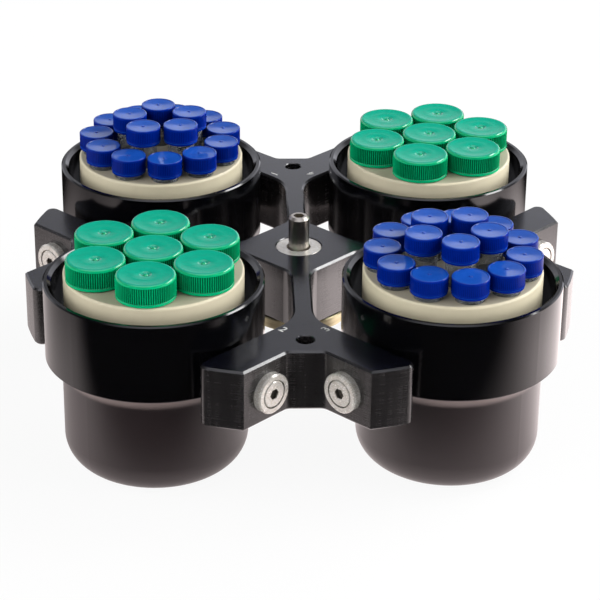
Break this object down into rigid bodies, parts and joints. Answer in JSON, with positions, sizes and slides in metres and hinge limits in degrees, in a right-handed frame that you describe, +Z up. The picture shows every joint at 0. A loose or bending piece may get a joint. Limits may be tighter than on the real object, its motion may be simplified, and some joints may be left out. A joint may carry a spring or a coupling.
{
  "type": "swing out rotor",
  "caption": "Swing-out centrifuge rotor: a forked cross with round buckets on trunnions, filled with adapters of screw-capped tubes.",
  "frame": {"origin": "centre of the drive bore's mouth in the hub's underside, on the rotor axis", "axes": "+Z up along the rotor axis, +X and +Y along two arms of the cross, buckets on the diagonals"},
  "size_m": [0.3326, 0.3326, 0.1491],
  "materials": {
    "black_anodised": "satin black anodised",
    "bucket_metal": "satin black to dark brown anodised",
    "gold_anodised": "turned, pale gold",
    "steel": "machined stainless",
    "polished_steel": "polished",
    "ivory_plastic": "moulded, faint sheen",
    "clear_plastic": "clear",
    "blue_plastic": "semi-gloss",
    "green_plastic": "semi-gloss"
  },
  "bodies": {
    "rotor": {"rotor_cross": "black_anodised", "hub_base": "gold_anodised", "base_screws": "steel", "drive_sleeve": "steel", "trunnion_pins_1": "steel", "pin_flanges_1": "steel", "pin_screws_1": "steel", "trunnion_pins_2": "steel", "pin_flanges_2": "steel", "pin_screws_2": "steel", "trunnion_pins_3": "steel", "pin_flanges_3": "steel", "pin_screws_3": "steel", "trunnion_pins_4": "steel", "pin_flanges_4": "steel", "pin_screws_4": "steel"},
    "lock_screw": {"lock_screw": "polished_steel", "retaining_ring": "steel"},
    "bucket_1": {"bucket_1": "bucket_metal"},
    "adapter_1": {"adapter_1": "ivory_plastic"},
    "outer_tubes_1": {"outer_tubes_1": "clear_plastic", "outer_caps_1": "blue_plastic"},
    "inner_tubes_1": {"inner_tubes_1": "clear_plastic", "inner_caps_1": "blue_plastic"},
    "bucket_2": {"bucket_2": "bucket_metal"},
    "adapter_2": {"adapter_2": "ivory_plastic"},
    "outer_tubes_2": {"outer_tubes_2": "clear_plastic", "outer_caps_2": "green_plastic"},
    "centre_tube_2": {"centre_tube_2": "clear_plastic"},
    "centre_cap_2": {"centre_cap_2": "green_plastic"},
    "bucket_3": {"bucket_3": "bucket_metal"},
    "adapter_3": {"adapter_3": "ivory_plastic"},
    "outer_tubes_3": {"outer_tubes_3": "clear_plastic", "outer_caps_3": "blue_plastic"},
    "inner_tubes_3": {"inner_tubes_3": "clear_plastic", "inner_caps_3": "blue_plastic"},
    "bucket_4": {"bucket_4": "bucket_metal"},
    "adapter_4": {"adapter_4": "ivory_plastic"},
    "outer_tubes_4": {"outer_tubes_4": "clear_plastic", "outer_caps_4": "green_plastic"},
    "centre_tube_4": {"centre_tube_4": "clear_plastic"},
    "centre_cap_4": {"centre_cap_4": "green_plastic"}
  },
  "joints": [
    {"name": "lock_screw_turn", "type": "hinge", "parent": "rotor", "child": "lock_screw", "pos_m": [0, 0, 0.0555], "axis": [0, 0, 1], "continuous": true},
    {"name": "bucket_1_swing", "type": "hinge", "parent": "rotor", "child": "bucket_1", "pos_m": [-0.0869, 0.0869, 0.025], "axis": [0.7071, 0.7071, 0], "range_deg": [0, 90]},
    {"name": "adapter_1_lift", "type": "slide", "parent": "bucket_1", "child": "adapter_1", "axis": [0, 0, -1], "range_m": [-0.124, 0]},
    {"name": "outer_tubes_1_lift", "type": "slide", "parent": "adapter_1", "child": "outer_tubes_1", "axis": [0, 0, -1], "range_m": [-0.108, 0]},
    {"name": "inner_tubes_1_lift", "type": "slide", "parent": "outer_tubes_1", "child": "inner_tubes_1", "axis": [0, 0, -1], "range_m": [-0.096, 0]},
    {"name": "bucket_2_swing", "type": "hinge", "parent": "rotor", "child": "bucket_2", "pos_m": [-0.0869, -0.0869, 0.025], "axis": [-0.7071, 0.7071, 0], "range_deg": [0, 90]},
    {"name": "adapter_2_lift", "type": "slide", "parent": "bucket_2", "child": "adapter_2", "axis": [0, 0, -1], "range_m": [-0.124, 0]},
    {"name": "outer_tubes_2_lift", "type": "slide", "parent": "adapter_2", "child": "outer_tubes_2", "axis": [0, 0, -1], "range_m": [-0.104, 0]},
    {"name": "centre_tube_2_lift", "type": "slide", "parent": "adapter_2", "child": "centre_tube_2", "axis": [0, 0, -1], "range_m": [-0.104, 0]},
    {"name": "centre_cap_2_turn", "type": "hinge", "parent": "centre_tube_2", "child": "centre_cap_2", "pos_m": [-0.0869, -0.0869, 0.0781], "axis": [0, 0, 1], "continuous": true},
    {"name": "bucket_3_swing", "type": "hinge", "parent": "rotor", "child": "bucket_3", "pos_m": [0.0869, -0.0869, 0.025], "axis": [-0.7071, -0.7071, 0], "range_deg": [0, 90]},
    {"name": "adapter_3_lift", "type": "slide", "parent": "bucket_3", "child": "adapter_3", "axis": [0, 0, -1], "range_m": [-0.124, 0]},
    {"name": "outer_tubes_3_lift", "type": "slide", "parent": "adapter_3", "child": "outer_tubes_3", "axis": [0, 0, -1], "range_m": [-0.108, 0]},
    {"name": "inner_tubes_3_lift", "type": "slide", "parent": "outer_tubes_3", "child": "inner_tubes_3", "axis": [0, 0, -1], "range_m": [-0.096, 0]},
    {"name": "bucket_4_swing", "type": "hinge", "parent": "rotor", "child": "bucket_4", "pos_m": [0.0869, 0.0869, 0.025], "axis": [0.7071, -0.7071, 0], "range_deg": [0, 90]},
    {"name": "adapter_4_lift", "type": "slide", "parent": "bucket_4", "child": "adapter_4", "axis": [0, 0, -1], "range_m": [-0.124, 0]},
    {"name": "outer_tubes_4_lift", "type": "slide", "parent": "adapter_4", "child": "outer_tubes_4", "axis": [0, 0, -1], "range_m": [-0.104, 0]},
    {"name": "centre_tube_4_lift", "type": "slide", "parent": "adapter_4", "child": "centre_tube_4", "axis": [0, 0, -1], "range_m": [-0.104, 0]},
    {"name": "centre_cap_4_turn", "type": "hinge", "parent": "centre_tube_4", "child": "centre_cap_4", "pos_m": [0.0869, 0.0869, 0.0781], "axis": [0, 0, 1], "continuous": true}
  ]
}
